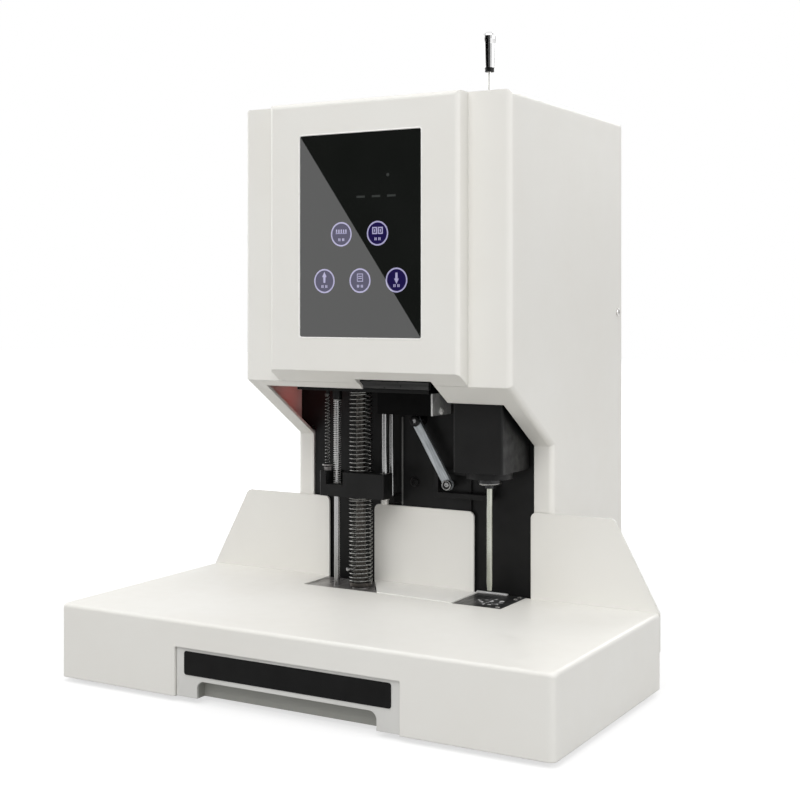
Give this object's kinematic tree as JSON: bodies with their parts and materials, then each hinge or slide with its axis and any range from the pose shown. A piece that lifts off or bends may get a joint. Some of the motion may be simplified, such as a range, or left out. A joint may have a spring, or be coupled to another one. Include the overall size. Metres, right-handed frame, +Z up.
{
  "type": "document riveting machine",
  "caption": "Free-standing desk machine that drills a stack of documents and fixes it with a hot-pressed rivet tube; touch panel, two stations, scrap drawer",
  "frame": {"origin": "on the desk, at the centre of the bounding box's footprint", "axes": "+X to the operator's right, +Y from the operator towards the back, +Z up"},
  "size_m": [0.43, 0.36, 0.5227],
  "materials": {
    "white_casing": "fine satin powder coat",
    "drawer_plastic": "satin",
    "black_label": "satin",
    "touch_glass": "polished black glass",
    "zinc_plate": "galvanised",
    "black_rubber": "matte",
    "steel_screws": "nickel plated",
    "black_screws": "black oxide",
    "green_board": "solder mask",
    "black_plastic": "moulded",
    "switch_red": "moulded",
    "black_steel": "black oxide, satin",
    "bed_steel": "ground",
    "pad_nylon": "worn by the drill",
    "bright_steel": "polished",
    "spring_steel": "oiled wire",
    "bronze": "sintered",
    "motor_grey": "satin",
    "laser_case": "plain",
    "black_collar": "moulded"
  },
  "bodies": {
    "base": {"base_cover": "white_casing", "base_plate": "zinc_plate", "rubber_feet": "black_rubber", "pan_screws": "steel_screws", "socket_screws": "black_screws", "fence_left": "white_casing", "fence_middle": "white_casing", "fence_right": "white_casing", "casing_shell": "white_casing", "front_cover": "white_casing", "touch_glass": "touch_glass", "circuit_boards": "green_board", "rear_cover": "white_casing", "power_inlet": "black_plastic", "bed_bridge": "black_steel", "rivet_plate": "bed_steel", "lower_die": "bed_steel", "drill_plate": "black_steel", "stop_strip": "zinc_plate", "mast_plate": "black_steel", "gear_plate": "black_steel", "top_plate": "black_steel", "press_rods": "bright_steel", "slide_rods": "bright_steel", "rod_block": "black_steel", "side_bracket": "zinc_plate", "main_spring": "spring_steel", "fine_spring": "spring_steel", "return_spring": "spring_steel", "press_actuator": "black_plastic", "inner_brackets": "black_steel", "laser_pointer": "laser_case", "lift_motor": "motor_grey", "rod_grommet": "black_rubber", "rod_spring": "spring_steel"},
    "pad": {"drill_pad": "pad_nylon"},
    "drawer": {"scrap_drawer": "drawer_plastic", "drawer_label": "black_label"},
    "rivet_head": {"press_carriage": "black_steel", "carriage_bushes": "bronze", "punch_shaft": "bright_steel", "foot_spring": "spring_steel"},
    "sleeve": {"pressure_sleeve": "bright_steel"},
    "drill_head": {"drill_housing": "black_steel", "spindle_bearings": "bright_steel", "bearing_cap": "black_steel", "motor_plate": "black_steel", "drill_motor": "motor_grey", "drive_belt": "black_rubber", "drill_carriage": "black_steel"},
    "drill_spindle": {"spindle": "bright_steel", "drill_chuck": "bright_steel", "drill_bit": "bright_steel"},
    "motor_rotor": {"motor_pulley": "bright_steel"},
    "lift_arm": {"lift_lever": "bright_steel", "lever_pins": "bright_steel"},
    "clearing_rod": {"clearing_rod": "bright_steel", "rod_collar": "black_collar", "rod_knob": "bright_steel"},
    "rocker": {"power_rocker": "switch_red"}
  },
  "joints": [
    {"name": "drill_lift", "type": "slide", "parent": "base", "child": "drill_head", "axis": [0, 0, 1], "range_m": [-0.0085, 0.04]},
    {"name": "spindle_spin", "type": "hinge", "parent": "drill_head", "child": "drill_spindle", "pos_m": [0.081, -0.003, 0.2], "axis": [0, 0, 1], "continuous": true},
    {"name": "motor_spin", "type": "hinge", "parent": "drill_head", "child": "motor_rotor", "pos_m": [0.028, -0.003, 0.27], "axis": [0, 0, 1], "continuous": true},
    {"name": "lever_swing", "type": "hinge", "parent": "base", "child": "lift_arm", "pos_m": [0.0037, 0.0135, 0.204], "axis": [0, -1, 0], "range_deg": [-10.3, 47.95]},
    {"name": "rivet_lift", "type": "slide", "parent": "base", "child": "rivet_head", "axis": [0, 0, 1], "range_m": [0, 0.04], "deforming": ["main_spring", "fine_spring", "return_spring"]},
    {"name": "sleeve_slide", "type": "slide", "parent": "rivet_head", "child": "sleeve", "axis": [0, 0, 1], "range_m": [0, 0.01], "stiffness_N_per_m": 800, "springref_m": -0.004, "deforming": ["foot_spring"]},
    {"name": "clearing_rod_push", "type": "slide", "parent": "base", "child": "clearing_rod", "axis": [0, 0, 1], "range_m": [-0.02, 0], "stiffness_N_per_m": 120, "springref_m": 0.006, "deforming": ["rod_spring"]},
    {"name": "drawer_slide", "type": "slide", "parent": "base", "child": "drawer", "axis": [0, -1, 0], "range_m": [0, 0.13]},
    {"name": "pad_turn", "type": "hinge", "parent": "base", "child": "pad", "pos_m": [0.081, -0.003, 0.06], "axis": [0, 0, 1], "continuous": true},
    {"name": "power_switch", "type": "hinge", "parent": "base", "child": "rocker", "pos_m": [0.06, 0.1752, 0.112], "axis": [0, 0, 1], "range_deg": [0, 16]}
  ],
  "couplings": [
    {"joint": "motor_spin", "follows": "spindle_spin", "ratio": 1.5},
    {"joint": "lever_swing", "follows": "drill_lift", "rad_per_m": 20.857}
  ]
}
